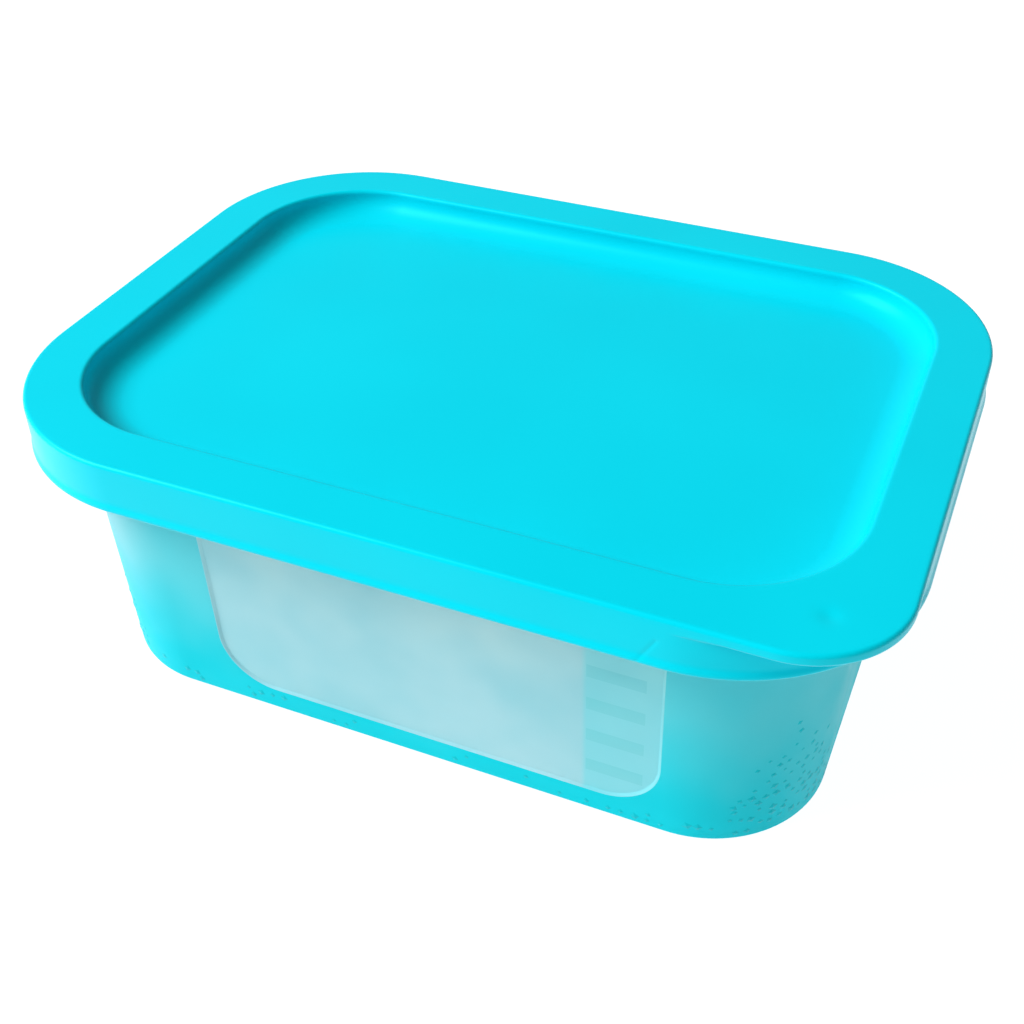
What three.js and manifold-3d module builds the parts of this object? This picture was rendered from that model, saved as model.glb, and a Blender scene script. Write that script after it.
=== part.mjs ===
// A freezer container: a translucent tapered tub, closed by a press-on lid with a stacking recess in its top
// and a lifting tab at one corner. Millimetres, +Z up. The origin is on the surface that the tub stands on,
// under its middle. +X runs along the long side, and the label window faces -Y.
import * as THREE from "three";
import { mergeVertices } from "three/addons/utils/BufferGeometryUtils.js";
import Module from "manifold-3d";

// Outline of the closed container, measured over the lid
const LENGTH = 182;
const WIDTH = 134;
const HEIGHT = 66;
const CORNER_RADIUS = 37;

// Lid
const LID_WALL = 1.6;
const RIM_WIDTH = 11.7;
const RECESS_DEPTH = 5.6;
const RECESS_LEAN = 0.8;
const RECESS_FILLET = 2.4;
const RIM_EDGE_RADIUS = 1.1;
const SKIRT_HEIGHT = 10.8;
const SKIRT_FLARE = 0.4;
const SKIRT_EDGE_RADIUS = 0.7;
const TAB_CORNER_RADIUS = 19.2;
const TAB_THICKNESS = 2.6;
const TAB_CHAMFER = 0.6;

// Tub
const TUB_WALL = 1.5;
const TUB_FLOOR = 1.6;
const TUB_FOOT_INSET = 11.7;
const TUB_DRAFT = 0.038;
const FOOT_WIDTH = 5;
const FOOT_HEIGHT = 0.8;
const FOOT_FILLET = 1.1;
const INSIDE_FILLET = 3.5;
const FLANGE_RADIUS = 34.4;
const FLANGE_THICKNESS = 1.8;
const FLANGE_LIP = 3.4;
const SHOULDER_FILLET = 3.2;
const LID_GAP = 0.3;

// Label window, sunk into the long front wall, and its level bars, which stay proud in it
const WINDOW_LEFT = -43.8;
const WINDOW_RIGHT = 52.6;
const WINDOW_BOTTOM = 6;
const WINDOW_TOP = 57;
const WINDOW_CORNER = 12;
const WINDOW_DEPTH = 0.5;
const BAR_COUNT = 4;
const BAR_LEFT = 37.5;
const BAR_LENGTH = 11.5;
const BAR_HEIGHT = 3.2;
const BAR_LOWEST = 13;
const BAR_PITCH = 8.6;

// Smoothness of the facets
const CORNER_STEPS = 10;
const FILLET_STEPS = 4;
const MERGE_DISTANCE = 1e-4;

const QUARTER_TURN = Math.PI / 2;

// Every outline of the container is an arc about each of these four centres, joined by straight sides.
const CORE_X = LENGTH / 2 - CORNER_RADIUS;
const CORE_Y = WIDTH / 2 - CORNER_RADIUS;
const CORNERS = [
  [CORE_X, CORE_Y],
  [-CORE_X, CORE_Y],
  [-CORE_X, -CORE_Y],
  [CORE_X, -CORE_Y],
];
const TAB_CORNER = 3;

const wasm = await Module();
wasm.setup();

// Points of an arc in a section, where a point is [radius from the corner centre, height].
function arc(centreR, centreZ, radius, fromTurn, toTurn) {
  return Array.from({ length: FILLET_STEPS + 1 }, (_, i) => {
    const angle = (fromTurn + ((toTurn - fromTurn) * i) / FILLET_STEPS) * QUARTER_TURN;
    return [centreR + radius * Math.cos(angle), centreZ + radius * Math.sin(angle)];
  });
}

// Sweeps a section round the container, anticlockwise seen from above. sectionAt gives the section at a place
// as points that start under the middle, go out and up, and come back in over the middle.
function sweep(sectionAt) {
  const rails = CORNERS.flatMap(([x, y], corner) =>
    Array.from({ length: CORNER_STEPS + 1 }, (_, i) => {
      const turn = i / CORNER_STEPS;
      const angle = (corner + turn) * QUARTER_TURN;
      return sectionAt(corner, turn).map(
        ([r, z]) => new THREE.Vector3(x + r * Math.cos(angle), y + r * Math.sin(angle), z),
      );
    }),
  );
  const positions = [];
  const face = (...corners) => {
    const [a, b, c] = corners;
    if (a.equals(b) || b.equals(c) || c.equals(a)) return;
    corners.forEach((p) => positions.push(p.x, p.y, p.z));
  };
  rails.forEach((rail, k) => {
    const next = rails[(k + 1) % rails.length];
    for (let i = 0; i + 1 < rail.length; i++) {
      face(rail[i], next[i], next[i + 1]);
      face(rail[i], next[i + 1], rail[i + 1]);
    }
  });
  const middle = (i) => CORNERS.map((_, corner) => rails[corner * (CORNER_STEPS + 1)].at(i));
  const [a, b, c, d] = middle(0);
  face(a, c, b);
  face(a, d, c);
  const [e, f, g, h] = middle(-1);
  face(e, f, g);
  face(e, g, h);
  return new THREE.BufferGeometry().setAttribute("position", new THREE.Float32BufferAttribute(positions, 3));
}

// How far the lid's top edge lies from the corner centre. At the tab's corner it follows a squarer corner.
function topEdgeRadius(corner, turn) {
  if (corner !== TAB_CORNER) return CORNER_RADIUS;
  const inset = CORNER_RADIUS - TAB_CORNER_RADIUS;
  const fromMiddle = Math.abs(turn - 0.5) * QUARTER_TURN;
  const fromSide = QUARTER_TURN / 2 - fromMiddle;
  if (CORNER_RADIUS * Math.tan(fromSide) < inset) return CORNER_RADIUS / Math.cos(fromSide);
  const centre = inset * Math.SQRT2;
  const aside = centre * Math.sin(fromMiddle);
  return centre * Math.cos(fromMiddle) + Math.sqrt(TAB_CORNER_RADIUS ** 2 - aside ** 2);
}

const tabReach = topEdgeRadius(TAB_CORNER, 0.5) - CORNER_RADIUS;

// The lid's section, from under its middle round the skirt to the floor of the recess.
function lidSection(corner, turn) {
  const top = HEIGHT;
  const floor = top - RECESS_DEPTH;
  const recessRadius = CORNER_RADIUS - RIM_WIDTH;
  const plugRadius = recessRadius - RECESS_LEAN + LID_WALL - LID_GAP;
  const skirtInside = CORNER_RADIUS - LID_WALL;
  const skirtFoot = CORNER_RADIUS + SKIRT_FLARE;
  const skirtBottom = top - SKIRT_HEIGHT;
  const edge = topEdgeRadius(corner, turn);
  const share = (edge - CORNER_RADIUS) / tabReach;
  const edgeCut = RIM_EDGE_RADIUS * (1 - Math.SQRT1_2);
  const wall = recessRadius - RECESS_LEAN - RECESS_FILLET;
  const rimFlat = CORNER_RADIUS - 2 * RIM_EDGE_RADIUS;
  const ceiling = top - LID_WALL;
  return [
    [0, floor - LID_WALL],
    ...arc(plugRadius - RECESS_FILLET, floor - LID_WALL + RECESS_FILLET, RECESS_FILLET, -1, 0),
    [plugRadius + RECESS_LEAN - LID_GAP, ceiling],
    [skirtInside, ceiling],
    ...arc(skirtFoot - SKIRT_EDGE_RADIUS, skirtBottom + SKIRT_EDGE_RADIUS, SKIRT_EDGE_RADIUS, -2, 0),
    [CORNER_RADIUS, top - TAB_THICKNESS - RIM_EDGE_RADIUS * (1 - share)],
    [edge - TAB_CHAMFER * share, top - TAB_THICKNESS],
    [edge, top - TAB_THICKNESS + TAB_CHAMFER],
    [edge, top - RIM_EDGE_RADIUS],
    [edge - edgeCut, top - edgeCut],
    [edge - RIM_EDGE_RADIUS, top],
    [rimFlat, top],
    [(rimFlat + recessRadius) / 2, top],
    ...arc(recessRadius + RIM_EDGE_RADIUS, top - RIM_EDGE_RADIUS, RIM_EDGE_RADIUS, 1, 2),
    ...arc(wall, floor + RECESS_FILLET, RECESS_FILLET, 0, -1),
    [0, floor],
  ];
}

// How far the tub's outer wall lies from the corner centre at a height.
const tubRadius = (z) => CORNER_RADIUS - TUB_FOOT_INSET + TUB_DRAFT * z;

// The tub's section, from under its middle round the flange to its inside floor.
function tubSection() {
  const rim = HEIGHT - LID_WALL - LID_GAP;
  const flangeUnder = rim - FLANGE_THICKNESS;
  const lipInside = FLANGE_RADIUS - FLANGE_THICKNESS;
  const lipFoot = rim - FLANGE_LIP;
  const shoulder = flangeUnder - SHOULDER_FILLET;
  const foot = tubRadius(0);
  const inside = FOOT_HEIGHT + TUB_FLOOR;
  const insideFoot = tubRadius(inside + INSIDE_FILLET) - TUB_WALL;
  return [
    [0, FOOT_HEIGHT],
    [foot - FOOT_WIDTH - FOOT_HEIGHT, FOOT_HEIGHT],
    [foot - FOOT_WIDTH, 0],
    ...arc(tubRadius(FOOT_FILLET) - FOOT_FILLET, FOOT_FILLET, FOOT_FILLET, -1, 0),
    ...arc(tubRadius(shoulder) + SHOULDER_FILLET, shoulder, SHOULDER_FILLET, 2, 1),
    [lipInside, flangeUnder],
    [lipInside, lipFoot],
    [FLANGE_RADIUS, lipFoot],
    [FLANGE_RADIUS, rim - SKIRT_EDGE_RADIUS],
    [FLANGE_RADIUS - SKIRT_EDGE_RADIUS, rim],
    [tubRadius(rim) - TUB_WALL + SKIRT_EDGE_RADIUS, rim],
    [tubRadius(rim) - TUB_WALL, rim - SKIRT_EDGE_RADIUS],
    ...arc(insideFoot - INSIDE_FILLET, inside + INSIDE_FILLET, INSIDE_FILLET, 0, -1),
    [0, inside],
  ];
}

// A closed geometry as a solid that can be cut.
function solid(geometry) {
  const bare = geometry.clone();
  bare.deleteAttribute("normal");
  bare.deleteAttribute("uv");
  const merged = mergeVertices(bare, MERGE_DISTANCE);
  const vertProperties = merged.attributes.position.array;
  return new wasm.Manifold(new wasm.Mesh({ numProp: 3, vertProperties, triVerts: merged.index.array }));
}

function geometryOf(manifold) {
  const { vertProperties, triVerts } = manifold.getMesh();
  const geometry = new THREE.BufferGeometry();
  geometry.setAttribute("position", new THREE.BufferAttribute(vertProperties, 3));
  geometry.setIndex(new THREE.BufferAttribute(triVerts, 1));
  geometry.computeVertexNormals();
  return geometry;
}

function rectangle(left, bottom, right, top) {
  const path = new THREE.Path();
  path.moveTo(left, bottom).lineTo(left, top).lineTo(right, top).lineTo(right, bottom).closePath();
  return path;
}

// What is cut from the front wall: the window's outline less the bars, laid on the leaning wall.
function windowCutter() {
  const outline = new THREE.Shape();
  const cornerLeft = WINDOW_LEFT + WINDOW_CORNER;
  const cornerRight = WINDOW_RIGHT - WINDOW_CORNER;
  const cornerHeight = WINDOW_BOTTOM + WINDOW_CORNER;
  outline.moveTo(WINDOW_LEFT, WINDOW_TOP);
  outline.absarc(cornerLeft, cornerHeight, WINDOW_CORNER, 2 * QUARTER_TURN, 3 * QUARTER_TURN);
  outline.absarc(cornerRight, cornerHeight, WINDOW_CORNER, 3 * QUARTER_TURN, 4 * QUARTER_TURN);
  outline.lineTo(WINDOW_RIGHT, WINDOW_TOP);
  for (let i = 0; i < BAR_COUNT; i++) {
    const low = BAR_LOWEST + i * BAR_PITCH - BAR_HEIGHT / 2;
    outline.holes.push(rectangle(BAR_LEFT, low, BAR_LEFT + BAR_LENGTH, low + BAR_HEIGHT));
  }
  const cutter = new THREE.ExtrudeGeometry(outline, {
    depth: 2 * WINDOW_DEPTH,
    bevelEnabled: false,
    curveSegments: CORNER_STEPS,
  });
  const wallFoot = -(CORE_Y + tubRadius(0));
  cutter.rotateX(QUARTER_TURN);
  cutter.translate(0, WINDOW_DEPTH, 0);
  cutter.rotateX(Math.atan(TUB_DRAFT));
  cutter.translate(0, wallFoot, 0);
  return cutter;
}

function mesh(name, geometry, looks) {
  const made = new THREE.Mesh(geometry, new THREE.MeshStandardMaterial(looks));
  made.name = name;
  return made;
}

const frosted = { color: 0x52cfe2, roughness: 0.5, metalness: 0, transparent: true, opacity: 0.7 };
const turquoise = { color: 0x02d8ee, roughness: 0.38, metalness: 0 };

const tub = solid(sweep(tubSection)).subtract(solid(windowCutter()));
const container = new THREE.Group();
container.add(mesh("tub", geometryOf(tub), frosted));
container.add(mesh("lid", sweep(lidSection), turquoise));

export default container;
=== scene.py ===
import math
import random
from collections import namedtuple

import bmesh
import bpy
from mathutils import Matrix, Vector
from mathutils.geometry import tessellate_polygon


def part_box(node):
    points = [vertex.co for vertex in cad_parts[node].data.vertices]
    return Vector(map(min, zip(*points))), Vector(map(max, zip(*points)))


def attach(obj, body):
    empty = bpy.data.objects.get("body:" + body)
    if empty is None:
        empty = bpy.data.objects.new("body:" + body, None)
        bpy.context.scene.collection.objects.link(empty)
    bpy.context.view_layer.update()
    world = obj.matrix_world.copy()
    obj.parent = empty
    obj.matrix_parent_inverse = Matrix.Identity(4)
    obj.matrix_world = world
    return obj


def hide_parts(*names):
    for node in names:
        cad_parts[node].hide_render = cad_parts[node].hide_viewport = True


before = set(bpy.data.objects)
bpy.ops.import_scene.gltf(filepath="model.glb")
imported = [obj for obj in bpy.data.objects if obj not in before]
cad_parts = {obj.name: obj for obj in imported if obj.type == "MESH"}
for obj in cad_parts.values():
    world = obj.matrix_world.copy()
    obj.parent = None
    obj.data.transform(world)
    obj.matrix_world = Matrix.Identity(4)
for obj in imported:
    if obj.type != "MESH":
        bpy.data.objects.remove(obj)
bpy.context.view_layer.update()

MM = 0.001
QUARTER_TURN = math.pi / 2

# Outline of the closed container, from the frame
SKIRT_FLARE = 0.4
lid_low, lid_high = (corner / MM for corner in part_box("lid"))
HALF_LENGTH = lid_high.x - SKIRT_FLARE
HALF_WIDTH = lid_high.y - SKIRT_FLARE
HEIGHT = lid_high.z
SKIRT_HEIGHT = lid_high.z - lid_low.z
CORNER_RADIUS = 37

# Lid
LID_WALL = 1.6
LID_GAP = 0.3
RIM_WIDTH = 11.7
RIM_EDGE_RADIUS = 0.8
RECESS_EDGE_RADIUS = 0.9
RECESS_DEPTH = 5.6
RECESS_FILLET = 4.6
RECESS_REACH = 6.6
PLUG_LEAN = 0.8
PLUG_FILLET = 2.4
SKIRT_EDGE_RADIUS = 0.7
SKIRT_BEAD = 1.6
TAB_CORNER_RADIUS = 19.2
TAB_THICKNESS = 2.6
TAB_EDGE_RADIUS = 0.8
TAB_FILLET = 0.8
DIMPLE_AT = (78.3, -56.0)
DIMPLE_RADIUS = 1.7
DIMPLE_DEPTH = 0.22
CREASE_FROM = (50.0, 55.6)
CREASE_TO = (53.1, 60.9)
CREASE_WIDTH = 0.4
CREASE_DEPTH = 0.09

# Tub
TUB_WALL = 1.5
TUB_FLOOR = 1.6
TUB_FOOT_INSET = 11.7
TUB_DRAFT = 0.038
FOOT_WIDTH = 5
FOOT_HEIGHT = 0.8
FOOT_FILLET = 1.1
INSIDE_FILLET = 3.5
FLANGE_RADIUS = 34.4
FLANGE_THICKNESS = 1.8
FLANGE_LIP = 3.4
FLANGE_EDGE = 0.7
SHOULDER_FILLET = 3.2

# Label window on the front wall, with its level bars
WINDOW_LEFT = -43.8
WINDOW_RIGHT = 52.6
WINDOW_BOTTOM = 6
WINDOW_TOP = 57
WINDOW_CORNER = 12
WINDOW_STEPS = ((0, 0), (0.2, 0.08), (0.5, 0.42), (0.7, 0.5))
WINDOW_DEPTH = WINDOW_STEPS[-1][1]
BAR_COUNT = 4
BAR_LEFT = 37.5
BAR_LENGTH = 11.5
BAR_HEIGHT = 3.2
BAR_LOWEST = 13
BAR_PITCH = 8.6
BAR_RELIEF = 0.12
BAR_BEVEL = 0.5

# Frost crystals, moulded low on the tub's outside
CRYSTAL_PITCH = 2.4
CRYSTAL_ROW = 2.0
CRYSTAL_WIDTH = 1.1
CRYSTAL_RELIEF = 0.16
CRYSTAL_SINK = 0.03
CRYSTAL_ROOT = 0.3
CRYSTAL_REACH = 36
CRYSTAL_BAND = 5.5
CRYSTAL_PEAK = 0.36
CRYSTAL_SEED = 7
CRYSTAL_STRIDES = (0.8, 1.25)
CRYSTAL_WANDER = 0.4
CRYSTAL_DENSITY = 0.8
CRYSTAL_SIZES = (0.65, 1.15)
CRYSTAL_SHRINK = 0.4
CRYSTAL_TILT = 0.5
CRYSTAL_ABOVE_FOOT = 1
CRYSTAL_BESIDE_WINDOW = 2
CRYSTAL_BELOW_WINDOW = 1.8

# Fineness of the meshes
ARC_STEPS = 6
BEAD_STEPS = 12
FILLET_STEPS = 20
CORNER_STEPS = 28
TAB_STEPS = 110
RIM_STEPS = 26
SKIRT_STEPS = 20
CREASE_SPACING = 0.25
CREASE_MARGIN = 0.75
WINDOW_ARC_STEPS = 16
SHARP_ANGLE = math.radians(35)
MERGE_DISTANCE = 1e-7

# Plastics: the order of the tub's materials, and what all the plastics share
FROSTED_SLOT, WINDOW_SLOT, BAR_SLOT, CRYSTAL_SLOT = range(4)
NOISE_SPAN = (0.3, 0.7)
NOISE_DETAIL = 2.0
GLOSS_FINENESS = 3
TOP_WAVE = 6
AQUA_TINT = (0.03, 0.9, 1)
WHITE_TINT = (1, 1, 1)

# Studio, with the light's power in watts
FLOOR_SIZE = 8000
FLOOR_DROP = 0.02
FLOOR_SHADE = 0.18
FLOOR_ROUGHNESS = 0.9
FLOOR_GLOW = 0.97
KEY_AT = (-1490, -790, 1700)
KEY_SIZE = 1400
KEY_POWER = 76.0
WORLD_STRENGTH = 0.18

# Camera, fitted to the outlines in the photograph: angles in radians, the first three lengths in pixels
PICTURE_WIDTH = 1024
FOCAL_LENGTH = 1384.9
CENTRE_OFFSET = 16.6
SENSOR_WIDTH = 36
CLIP_START = 10
CAMERA_AT = (98.35, -223.94, 215.37)
CAMERA_YAW = -0.4049
CAMERA_PITCH = -0.667
CAMERA_ROLL = -0.0091

# Every outline is an arc about each of these four centres, joined by straight sides.
CORE_X = HALF_LENGTH - CORNER_RADIUS
CORE_Y = HALF_WIDTH - CORNER_RADIUS
CORNERS = ((CORE_X, CORE_Y), (-CORE_X, CORE_Y), (-CORE_X, -CORE_Y), (CORE_X, -CORE_Y))
FRONT_LEFT = 2
TAB_CORNER = 3

# A place on an outline: the centre it turns about, its direction, its corner, and how far round that it is
Place = namedtuple("Place", "x y angle corner turn")


def arc(centre_r, centre_z, radius, from_turn, to_turn, steps=ARC_STEPS, reach=None):
    """Points (radius from the corner centre, height) of an arc in a section. reach makes it an oval."""
    points = []
    for i in range(steps + 1):
        angle = (from_turn + (to_turn - from_turn) * i / steps) * QUARTER_TURN
        r = centre_r + (reach or radius) * math.cos(angle)
        points.append((r, centre_z + radius * math.sin(angle)))
    return points


def between(start, end, steps):
    """Points from start to end, both left out."""
    shares = (i / steps for i in range(1, steps))
    return [tuple(a + (b - a) * s for a, b in zip(start, end)) for s in shares]


def places(steps_at, front=()):
    """Places round the container, anticlockwise seen from above. front adds places on the front, by x."""
    found = []
    for corner, (x, y) in enumerate(CORNERS):
        steps = steps_at[corner]
        for i in range(steps + 1):
            found.append(Place(x, y, (corner + i / steps) * QUARTER_TURN, corner, i / steps))
        if corner == FRONT_LEFT:
            found += [Place(at, y, (corner + 1) * QUARTER_TURN, None, 0) for at in front]
    return found


def stand(place, radius, height):
    """The point of a section at a place."""
    x = place.x + radius * math.cos(place.angle)
    y = place.y + radius * math.sin(place.angle)
    return Vector((x, y, height))


def sweep(mesh, rails, left_open=()):
    """Joins neighbouring rails of vertices all round, and closes both ends with flat caps."""
    for k, rail in enumerate(rails):
        following = rails[(k + 1) % len(rails)]
        for i in range(len(rail) - 1):
            if (k, i) not in left_open:
                mesh.faces.new((rail[i], following[i], following[i + 1], rail[i + 1]))
    mesh.faces.new([rail[0] for rail in reversed(rails)])
    mesh.faces.new([rail[-1] for rail in rails])


def mark_sharp(mesh):
    """Smooth faces, with sharp edges where the surface turns and round the faces of the crystals."""
    for face in mesh.faces:
        face.smooth = True
    for edge in mesh.edges:
        slots = {face.material_index for face in edge.link_faces}
        turned = len(edge.link_faces) == 2 and edge.calc_face_angle() > SHARP_ANGLE
        crystal = CRYSTAL_SLOT in slots and edge.calc_face_angle(0) > 0
        edge.smooth = not (turned or crystal)


def new_piece(name, mesh, materials):
    """An object with that mesh, in metres."""
    bmesh.ops.scale(mesh, vec=(MM, MM, MM), verts=mesh.verts)
    data = bpy.data.meshes.new(name)
    mesh.to_mesh(data)
    mesh.free()
    for material in materials:
        data.materials.append(material)
    piece = bpy.data.objects.new(name, data)
    bpy.context.scene.collection.objects.link(piece)
    return piece


def finish_piece(piece, node):
    """Even shading, and the piece's place in the frame."""
    piece.modifiers.new("even shading", "WEIGHTED_NORMAL").keep_sharp = True
    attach(piece, "root")
    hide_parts(node)


# Node trees
def add_node(tree, kind, **settings):
    """A shader node with those properties."""
    made = tree.nodes.new(kind)
    for name, value in settings.items():
        setattr(made, name, value)
    return made


def noise(tree, place, size):
    """A noise whose lumps are about that size."""
    made = add_node(tree, "ShaderNodeTexNoise")
    made.inputs["Scale"].default_value = 1 / (size * MM)
    made.inputs["Detail"].default_value = NOISE_DETAIL
    tree.links.new(place, made.inputs["Vector"])
    return made.outputs["Fac"]


def ranged(tree, value, from_range, to_range, smooth=False):
    """A value carried from one range to another."""
    made = add_node(tree, "ShaderNodeMapRange")
    if smooth:
        made.interpolation_type = "SMOOTHSTEP"
    for name, number in zip(("From Min", "From Max", "To Min", "To Max"), (*from_range, *to_range)):
        made.inputs[name].default_value = number
    tree.links.new(value, made.inputs["Value"])
    return made.outputs["Result"]


def mixed(tree, share, first, second):
    """A mix of two colours, each a value or an output."""
    made = add_node(tree, "ShaderNodeMix", data_type="RGBA")
    tree.links.new(share, made.inputs["Factor"])
    for name, colour in (("A", first), ("B", second)):
        socket = next(s for s in made.inputs if s.name == name and s.type == "RGBA")
        if isinstance(colour, tuple):
            socket.default_value = (*colour, 1)
        else:
            tree.links.new(colour, socket)
    return next(s for s in made.outputs if s.type == "RGBA")


def plastic(name, colours, cloud, gloss, grain, specular, tint, transmission=0.0, zone=None, top=None):
    """A moulded plastic: cloudy colour, uneven gloss and a fine moulded grain.

    colours are pairs, the two ends of the cloud: one pair, or a lower and an upper pair that blend
    between the two heights in top, where the upper pair is painted light. cloud is the size of the cloud,
    gloss the range of roughness, and grain the size and height of the grain. tint colours the reflections.
    zone is (from x, to x, pairs) for a stretch along the long side, where the pairs that it gives take the
    place of those in colours.
    """
    material = bpy.data.materials.new(name)
    material.use_nodes = True
    tree = material.node_tree
    surface = tree.nodes["Principled BSDF"]
    place = add_node(tree, "ShaderNodeTexCoord").outputs["Object"]
    lumps = noise(tree, place, cloud)
    clouds = ranged(tree, lumps, NOISE_SPAN, (0, 1))
    layers = [mixed(tree, clouds, *pair) for pair in colours]
    axes = add_node(tree, "ShaderNodeSeparateXYZ")
    tree.links.new(place, axes.inputs[0])
    # zone carries the window's own colour at the level bars, and painted light on the frosted tub's left
    # end.
    if zone:
        start, end, zone_colours = zone
        inside = ranged(tree, axes.outputs["X"], (start * MM, end * MM), (0, 1), smooth=True)
        for i, pair in enumerate(zone_colours):
            if pair:
                layers[i] = mixed(tree, inside, layers[i], mixed(tree, clouds, *pair))
    colour = layers[0]
    # With top, the upper pair is painted light, blended in with height along a wavy line.
    if top:
        start, end = top
        level = add_node(tree, "ShaderNodeMath", operation="ADD")
        tree.links.new(axes.outputs["Z"], level.inputs[0])
        wave = ranged(tree, lumps, NOISE_SPAN, (-TOP_WAVE * MM, TOP_WAVE * MM))
        tree.links.new(wave, level.inputs[1])
        painted_light_share = ranged(tree, level.outputs[0], (start * MM, end * MM), (0, 1), smooth=True)
        colour = mixed(tree, painted_light_share, *layers)
    tree.links.new(colour, surface.inputs["Base Color"])
    roughness = ranged(tree, noise(tree, place, cloud / GLOSS_FINENESS), NOISE_SPAN, gloss)
    tree.links.new(roughness, surface.inputs["Roughness"])
    grain_size, grain_height = grain
    bump = add_node(tree, "ShaderNodeBump")
    bump.inputs["Strength"].default_value = 1
    bump.inputs["Distance"].default_value = grain_height * MM
    tree.links.new(noise(tree, place, grain_size), bump.inputs["Height"])
    tree.links.new(bump.outputs["Normal"], surface.inputs["Normal"])
    surface.inputs["Specular IOR Level"].default_value = specular
    surface.inputs["Specular Tint"].default_value = (*tint, 1)
    surface.inputs["Transmission Weight"].default_value = transmission
    return material


# Lid
def top_edge_radius(place):
    """How far the lid's top edge lies from the corner centre. The tab's corner is a squarer one."""
    if place.corner != TAB_CORNER:
        return CORNER_RADIUS
    inset = CORNER_RADIUS - TAB_CORNER_RADIUS
    from_middle = abs(place.turn - 0.5) * QUARTER_TURN
    from_side = QUARTER_TURN / 2 - from_middle
    if CORNER_RADIUS * math.tan(from_side) < inset:
        return CORNER_RADIUS / math.cos(from_side)
    centre = inset * math.sqrt(2)
    aside = centre * math.sin(from_middle)
    return centre * math.cos(from_middle) + math.sqrt(TAB_CORNER_RADIUS**2 - aside**2)


def lid_section(edge):
    """The lid's section, from under its middle round the skirt to the floor of the recess."""
    floor = HEIGHT - RECESS_DEPTH
    ceiling = HEIGHT - LID_WALL
    recess = CORNER_RADIUS - RIM_WIDTH
    recess_foot = recess - RECESS_REACH
    plug = recess - PLUG_LEAN + LID_WALL - LID_GAP
    bottom = HEIGHT - SKIRT_HEIGHT
    lip = CORNER_RADIUS + SKIRT_FLARE - SKIRT_EDGE_RADIUS
    bead_top = bottom + SKIRT_EDGE_RADIUS + SKIRT_BEAD
    under = HEIGHT - TAB_THICKNESS
    # The tab grows out of the skirt, so its fillet and its lower edge are flat where it has no reach yet.
    grown = min(1, (edge - CORNER_RADIUS) / (TAB_FILLET + TAB_EDGE_RADIUS))
    fillet = arc(1, -1, 1, 2, 1)
    lower_edge = arc(-1, 1, 1, -1, 0)
    rim_inner = recess + RECESS_EDGE_RADIUS
    rim_outer = edge - RIM_EDGE_RADIUS
    return [
        *arc(plug - PLUG_FILLET, floor - LID_WALL + PLUG_FILLET, PLUG_FILLET, -1, 0),
        (plug + PLUG_LEAN - LID_GAP, ceiling),
        (CORNER_RADIUS - LID_WALL, ceiling),
        *arc(lip, bottom + SKIRT_EDGE_RADIUS, SKIRT_EDGE_RADIUS, -2, 0, BEAD_STEPS),
        *(
            (
                CORNER_RADIUS + SKIRT_FLARE * (1 + math.cos(s * math.pi)) / 2,
                bead_top - SKIRT_BEAD * (1 - s),
            )
            for (s,) in between((0,), (1,), ARC_STEPS)
        ),
        *between((CORNER_RADIUS, bead_top), (CORNER_RADIUS, under - TAB_FILLET), SKIRT_STEPS),
        *((CORNER_RADIUS + TAB_FILLET * grown * r, under + TAB_FILLET * z) for r, z in fillet),
        *((edge + TAB_EDGE_RADIUS * grown * r, under + TAB_EDGE_RADIUS * z) for r, z in lower_edge),
        *arc(rim_outer, HEIGHT - RIM_EDGE_RADIUS, RIM_EDGE_RADIUS, 0, 1),
        *between((rim_outer, HEIGHT), (rim_inner, HEIGHT), RIM_STEPS),
        *arc(rim_inner, HEIGHT - RECESS_EDGE_RADIUS, RECESS_EDGE_RADIUS, 1, 2),
        *arc(recess_foot, floor + RECESS_FILLET, RECESS_FILLET, 0, -1, FILLET_STEPS, RECESS_REACH),
    ]


def hollow(distance, width, depth):
    """How deep a soft hollow is at a distance from its middle."""
    return depth * math.exp(-((distance / width) ** 2))


def lid_relief(point):
    """Sinks the dimple into the tab's top, and the short crease into the skirt beside the tab."""
    if point.z > HEIGHT - MERGE_DISTANCE:
        off = (point.xy - Vector(DIMPLE_AT)).length
        point.z -= hollow(off, DIMPLE_RADIUS, DIMPLE_DEPTH)
    elif point.y < -HALF_WIDTH + RIM_EDGE_RADIUS / 2:
        start, end = Vector(CREASE_FROM), Vector(CREASE_TO)
        along = end - start
        here = Vector((point.x, point.z))
        share = min(1, max(0, (here - start).dot(along) / along.length_squared))
        point.y += hollow((here - start - along * share).length, CREASE_WIDTH, CREASE_DEPTH)
    return point


def build_lid(material):
    """The lid, with finer steps where the tab and the crease are."""
    steps_at = [TAB_STEPS if corner == TAB_CORNER else CORNER_STEPS for corner in range(len(CORNERS))]
    crease_left = CREASE_FROM[0] - CREASE_MARGIN
    count = round((CORE_X - crease_left) / CREASE_SPACING)
    front = [crease_left + i * CREASE_SPACING for i in range(count)]
    mesh = bmesh.new()
    rails = []
    for place in places(steps_at, front):
        section = lid_section(top_edge_radius(place))
        rails.append([mesh.verts.new(lid_relief(stand(place, r, z))) for r, z in section])
    sweep(mesh, rails)
    bmesh.ops.remove_doubles(mesh, verts=mesh.verts, dist=MERGE_DISTANCE)
    mark_sharp(mesh)
    piece = new_piece("lid_shell", mesh, [material])
    finish_piece(piece, "lid")


# Tub
def tub_radius(z):
    """How far the tub's outer wall lies from the corner centre at a height."""
    return CORNER_RADIUS - TUB_FOOT_INSET + TUB_DRAFT * z


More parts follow.
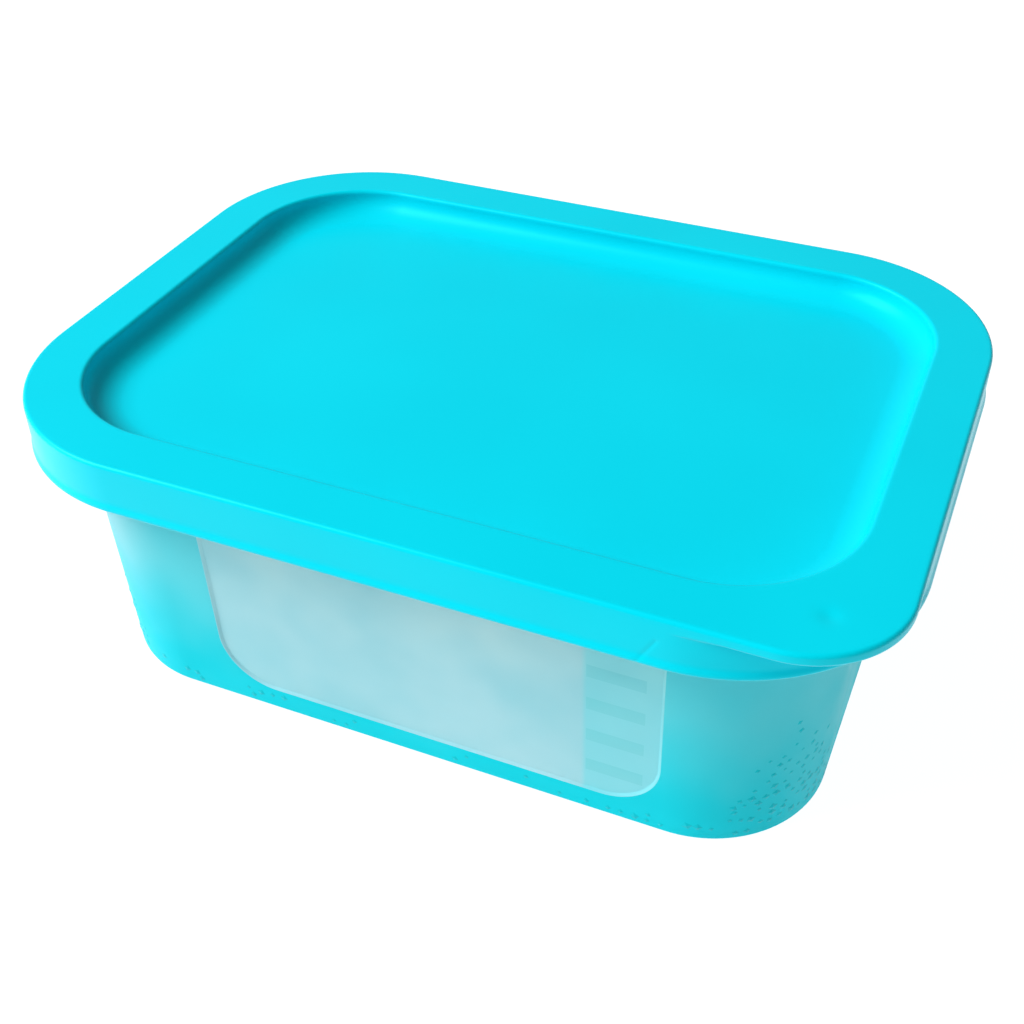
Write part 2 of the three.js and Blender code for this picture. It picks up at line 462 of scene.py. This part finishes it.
def tub_section():
    """The tub's section, from under its middle by the flange to its inside floor, and its wall's index."""
    rim = HEIGHT - LID_WALL - LID_GAP
    flange_under = rim - FLANGE_THICKNESS
    lip_inside = FLANGE_RADIUS - FLANGE_THICKNESS
    lip_foot = rim - FLANGE_LIP
    shoulder = flange_under - SHOULDER_FILLET
    foot = tub_radius(0)
    inside = FOOT_HEIGHT + TUB_FLOOR
    inside_foot = tub_radius(inside + INSIDE_FILLET) - TUB_WALL
    below = [
        (foot - FOOT_WIDTH - FOOT_HEIGHT, FOOT_HEIGHT),
        (foot - FOOT_WIDTH, 0),
        *arc(tub_radius(FOOT_FILLET) - FOOT_FILLET, FOOT_FILLET, FOOT_FILLET, -1, 0),
    ]
    above = [
        *arc(tub_radius(shoulder) + SHOULDER_FILLET, shoulder, SHOULDER_FILLET, 2, 1),
        (lip_inside, flange_under),
        (lip_inside, lip_foot),
        (FLANGE_RADIUS, lip_foot),
        *arc(FLANGE_RADIUS - FLANGE_EDGE, rim - FLANGE_EDGE, FLANGE_EDGE, 0, 1),
        *arc(tub_radius(rim) - TUB_WALL + FLANGE_EDGE, rim - FLANGE_EDGE, FLANGE_EDGE, 1, 2),
        *arc(inside_foot - INSIDE_FILLET, inside + INSIDE_FILLET, INSIDE_FILLET, 0, -1),
    ]
    return below + above, len(below) - 1


def front_wall(x, z, depth=0.0):
    """A point on the front wall, or that deep in it."""
    return Vector((x, -CORE_Y - tub_radius(z) + depth, z))


def window_outline(inset):
    """Points (x, z) of the window's outline, or of one inside it."""
    left = WINDOW_LEFT + WINDOW_CORNER
    right = WINDOW_RIGHT - WINDOW_CORNER
    low = WINDOW_BOTTOM + WINDOW_CORNER
    radius = WINDOW_CORNER - inset
    top = WINDOW_TOP - inset
    return [
        (WINDOW_LEFT + inset, top),
        *arc(left, low, radius, 2, 3, WINDOW_ARC_STEPS),
        *arc(right, low, radius, 3, 4, WINDOW_ARC_STEPS),
        (WINDOW_RIGHT - inset, top),
    ]


def bar_outline(index, inset):
    """Points (x, z) of a level bar's outline, or of one inside it, the same way round as the window's."""
    middle = BAR_LOWEST + index * BAR_PITCH
    left, right = BAR_LEFT + inset, BAR_LEFT + BAR_LENGTH - inset
    low, high = middle - BAR_HEIGHT / 2 + inset, middle + BAR_HEIGHT / 2 - inset
    return [(left, high), (left, low), (right, low), (right, high)]


def loop_of(mesh, outline, depth):
    """Vertices along an outline on the front wall, or that deep in it."""
    return [mesh.verts.new(front_wall(x, z, depth)) for x, z in outline]


def fill(mesh, slot, outer, *holes):
    """Flat faces inside a loop of vertices on the front wall, round any holes."""
    loops = [outer, *holes]
    corners = [vertex for loop in loops for vertex in loop]
    flat = [[Vector((vertex.co.x, vertex.co.z, 0)) for vertex in loop] for loop in loops]
    for triangle in tessellate_polygon(flat):
        a, b, c = (corners[i] for i in triangle)
        turn = (b.co - a.co).cross(c.co - a.co).y
        face = mesh.faces.new((a, b, c) if turn < 0 else (a, c, b))
        face.material_index = slot


def step(mesh, slot, outer, inner):
    """A strip of faces between two loops that run anticlockwise, seen from the front."""
    for i, vertex in enumerate(outer):
        j = (i + 1) % len(outer)
        face = mesh.faces.new((vertex, outer[j], inner[j], inner[i]))
        face.material_index = slot


def add_window(mesh, opening):
    """Closes the opening in the front wall with the sunk window and its raised level bars."""
    loops = [loop_of(mesh, window_outline(inset), depth) for inset, depth in WINDOW_STEPS]
    fill(mesh, FROSTED_SLOT, opening, loops[0])
    for outer, inner in zip(loops, loops[1:]):
        step(mesh, WINDOW_SLOT, outer, inner)
    feet = []
    for index in range(BAR_COUNT):
        foot = loop_of(mesh, bar_outline(index, 0), WINDOW_DEPTH)
        top = loop_of(mesh, bar_outline(index, BAR_BEVEL), WINDOW_DEPTH - BAR_RELIEF)
        step(mesh, BAR_SLOT, foot, top)
        fill(mesh, BAR_SLOT, top)
        feet.append(foot)
    fill(mesh, WINDOW_SLOT, loops[-1], *feet)


def crystal_limit(place):
    """How high the crystals reach: far up where a corner nears its short side, and low elsewhere."""
    from_short = math.asin(abs(math.sin(place.angle))) / QUARTER_TURN
    share = max(0, 1 - abs(from_short - CRYSTAL_PEAK) / CRYSTAL_PEAK)
    return CRYSTAL_BAND + (CRYSTAL_REACH - CRYSTAL_BAND) * math.sqrt(share)


def add_crystal(mesh, place, z, size, tilt):
    """A low faceted crystal on the tub's outer wall, rooted in it."""
    out = Vector((math.cos(place.angle), math.sin(place.angle), -TUB_DRAFT)).normalized()
    along = Vector((-math.sin(place.angle), math.cos(place.angle), 0))
    up = out.cross(along)
    middle = stand(place, tub_radius(z), z)
    rim = []
    for quarter in range(4):
        angle = quarter * QUARTER_TURN + tilt
        reach = along * math.cos(angle) + up * math.sin(angle)
        rim.append(mesh.verts.new(middle + reach * size * CRYSTAL_WIDTH - out * CRYSTAL_SINK))
    tip = mesh.verts.new(middle + out * CRYSTAL_RELIEF * size)
    root = mesh.verts.new(middle - out * CRYSTAL_ROOT)
    for i, vertex in enumerate(rim):
        following = rim[(i + 1) % len(rim)]
        for face in ((vertex, following, tip), (following, vertex, root)):
            mesh.faces.new(face).material_index = CRYSTAL_SLOT


def at_window(place, z):
    """Whether a crystal there would reach the window."""
    point = stand(place, tub_radius(z), z)
    on_front = place.y < 0 and point.y < -CORE_Y - tub_radius(z) + CRYSTAL_ROOT
    beside = WINDOW_LEFT - CRYSTAL_BESIDE_WINDOW < point.x < WINDOW_RIGHT + CRYSTAL_BESIDE_WINDOW
    return on_front and beside and z > WINDOW_BOTTOM - CRYSTAL_BELOW_WINDOW


def build_crystals(materials):
    """Crystals all round, on a staggered and jittered lattice that thins out upwards."""
    chance = random.Random(CRYSTAL_SEED)
    mesh = bmesh.new()
    outline = places([CORNER_STEPS] * len(CORNERS))
    for row in range(1, int(CRYSTAL_REACH / CRYSTAL_ROW)):
        run = (row % 2) * CRYSTAL_PITCH / 2
        for place, following in zip(outline, outline[1:] + outline[:1]):
            start = stand(place, tub_radius(0), 0)
            length = (stand(following, tub_radius(0), 0) - start).length
            while run < length:
                share = run / length
                run += CRYSTAL_PITCH * chance.uniform(*CRYSTAL_STRIDES)
                here = Place(*(a + (b - a) * share for a, b in zip(place[:3], following[:3])), None, 0)
                z = row * CRYSTAL_ROW + chance.uniform(-CRYSTAL_WANDER, CRYSTAL_WANDER)
                kept = chance.random() < CRYSTAL_DENSITY * (1 - (z / crystal_limit(here)) ** 2)
                size = chance.uniform(*CRYSTAL_SIZES) * (1 - CRYSTAL_SHRINK * z / CRYSTAL_REACH)
                tilt = chance.uniform(-CRYSTAL_TILT, CRYSTAL_TILT)
                if kept and z > FOOT_FILLET + CRYSTAL_ABOVE_FOOT and not at_window(here, z):
                    add_crystal(mesh, here, z, size, tilt)
            run -= length
    return new_piece("crystals", mesh, materials)


def fuse(piece, other):
    """Joins another closed mesh to a piece, and removes the other object."""
    join = piece.modifiers.new("join", "BOOLEAN")
    join.operation = "UNION"
    join.solver = "MANIFOLD"
    join.object = other
    bpy.context.view_layer.update()
    joined = piece.evaluated_get(bpy.context.evaluated_depsgraph_get())
    data = bpy.data.meshes.new_from_object(joined)
    piece.modifiers.clear()
    piece.data = data
    bpy.data.objects.remove(other)


def build_tub(materials):
    """The tub, with its window and its crystals."""
    mesh = bmesh.new()
    section, wall = tub_section()
    around = places([CORNER_STEPS] * len(CORNERS))
    rails = [[mesh.verts.new(stand(place, r, z)) for r, z in section] for place in around]
    left = max(k for k, place in enumerate(around) if place.corner == FRONT_LEFT)
    sweep(mesh, rails, left_open={(left, wall)})
    near, far = rails[left], rails[left + 1]
    add_window(mesh, [near[wall + 1], near[wall], far[wall], far[wall + 1]])
    piece = new_piece("tub_shell", mesh, materials)
    fuse(piece, build_crystals(materials))
    shaded = bmesh.new()
    shaded.from_mesh(piece.data)
    mark_sharp(shaded)
    shaded.to_mesh(piece.data)
    shaded.free()
    finish_piece(piece, "tub")


# Studio
def build_floor():
    """A pale floor that glows, so that it stays white and lights the container from below."""
    material = bpy.data.materials.new("floor")
    material.use_nodes = True
    surface = material.node_tree.nodes["Principled BSDF"]
    surface.inputs["Base Color"].default_value = (FLOOR_SHADE, FLOOR_SHADE, FLOOR_SHADE, 1)
    surface.inputs["Emission Color"].default_value = (1, 1, 1, 1)
    surface.inputs["Emission Strength"].default_value = FLOOR_GLOW
    surface.inputs["Roughness"].default_value = FLOOR_ROUGHNESS
    surface.inputs["Specular IOR Level"].default_value = 0
    mesh = bmesh.new()
    bmesh.ops.create_grid(mesh, size=FLOOR_SIZE / 2, matrix=Matrix.Translation((0, 0, -FLOOR_DROP)))
    new_piece("floor", mesh, [material])


def build_light():
    """One large soft light, and an even sky that the camera sees as white."""
    world = bpy.data.worlds.new("studio")
    world.use_nodes = True
    tree = world.node_tree
    sky = tree.nodes["Background"]
    sky.inputs["Color"].default_value = (1, 1, 1, 1)
    seen = add_node(tree, "ShaderNodeLightPath").outputs["Is Camera Ray"]
    tree.links.new(ranged(tree, seen, (0, 1), (WORLD_STRENGTH, 1)), sky.inputs["Strength"])
    bpy.context.scene.world = world
    light = bpy.data.lights.new("key", "AREA")
    light.size = KEY_SIZE * MM
    light.energy = KEY_POWER
    key = bpy.data.objects.new("key", light)
    key.location = Vector(KEY_AT) * MM
    key.rotation_euler = (-key.location).to_track_quat("-Z", "Y").to_euler()
    bpy.context.scene.collection.objects.link(key)


# Camera
def build_camera():
    """The camera of the photograph."""
    data = bpy.data.cameras.new("camera")
    data.sensor_width = SENSOR_WIDTH
    data.lens = FOCAL_LENGTH / PICTURE_WIDTH * SENSOR_WIDTH
    data.shift_x = -CENTRE_OFFSET / PICTURE_WIDTH
    data.clip_start = CLIP_START * MM
    camera = bpy.data.objects.new("camera", data)
    level = math.cos(CAMERA_PITCH)
    ahead = Vector((math.sin(CAMERA_YAW) * level, math.cos(CAMERA_YAW) * level, math.sin(CAMERA_PITCH)))
    right = Vector((math.cos(CAMERA_YAW), -math.sin(CAMERA_YAW), 0))
    up = right.cross(ahead)
    turn = Matrix((right, up, -ahead)).transposed().to_4x4()
    place = Matrix.Translation(Vector(CAMERA_AT) * MM)
    camera.matrix_world = place @ turn @ Matrix.Rotation(CAMERA_ROLL, 4, "Z")
    bpy.context.scene.collection.objects.link(camera)
    bpy.context.scene.camera = camera


# Plastics, with colours as linear red, green and blue
turquoise = plastic(
    "lid_turquoise",
    colours=[((0.0003, 0.68, 0.84), (0.0005, 0.71, 0.87))],
    cloud=45,
    gloss=(0.29, 0.36),
    grain=(0.35, 0.003),
    specular=0.26,
    tint=AQUA_TINT,
)
frosted = plastic(
    "tub_frosted",
    # The upper pair, blended in by height, is painted light: the tub paler higher up and more saturated
    # low down, for light showing through the frosted wall.
    colours=[((0.0, 0.77, 0.90), (0.0002, 0.81, 0.94)), ((0.09, 0.79, 0.90), (0.14, 0.83, 0.93))],
    cloud=30,
    gloss=(0.45, 0.58),
    grain=(0.25, 0.006),
    specular=0.08,
    tint=AQUA_TINT,
    transmission=0.2,
    top=(4, 44),
    # The zone paints light on the left end: its upper part paler, as lit from the left and glowing through
    # the wall.
    zone=(-50, -74, [None, ((0.32, 0.72, 0.80), (0.38, 0.76, 0.83))]),
)
clear = plastic(
    "tub_window",
    # The upper pair, blended in by height, is a painted brighter top that paints out the shade under the
    # lid's overhang.
    colours=[((0.34, 0.79, 0.88), (0.47, 0.86, 0.94)), ((0.46, 0.93, 0.99), (0.58, 0.97, 1.0))],
    cloud=22,
    gloss=(0.40, 0.48),
    grain=(0.5, 0.002),
    specular=0.3,
    tint=WHITE_TINT,
    transmission=0.2,
    top=(24, 58),
    zone=(
        36.2,
        37.8,
        # The zone's first pair is the bars' stretch in its own more cyan colour; its second pair has the
        # same painted brighter top.
        [((0.24, 0.82, 0.91), (0.28, 0.86, 0.95)), ((0.31, 0.93, 0.99), (0.35, 0.97, 1.0))],
    ),
)
bars = plastic(
    "tub_bars",
    # The upper pair, blended in by height, is a painted brighter top that paints out the shade under the
    # lid's overhang.
    colours=[((0.195, 0.785, 0.86), (0.235, 0.815, 0.89)), ((0.25, 0.86, 0.93), (0.29, 0.89, 0.96))],
    cloud=22,
    gloss=(0.40, 0.50),
    grain=(0.25, 0.004),
    specular=0.3,
    tint=WHITE_TINT,
    transmission=0.2,
    top=(24, 58),
)
crystals = plastic(
    "tub_crystals",
    colours=[((0.0, 0.64, 0.75), (0.002, 0.69, 0.80))],
    cloud=6,
    gloss=(0.38, 0.46),
    grain=(0.25, 0.002),
    specular=0.12,
    tint=AQUA_TINT,
    transmission=0.2,
)

build_camera()
build_lid(turquoise)
build_tub([frosted, clear, bars, crystals])
build_floor()
build_light()
bpy.context.scene.view_settings.view_transform = "Standard"
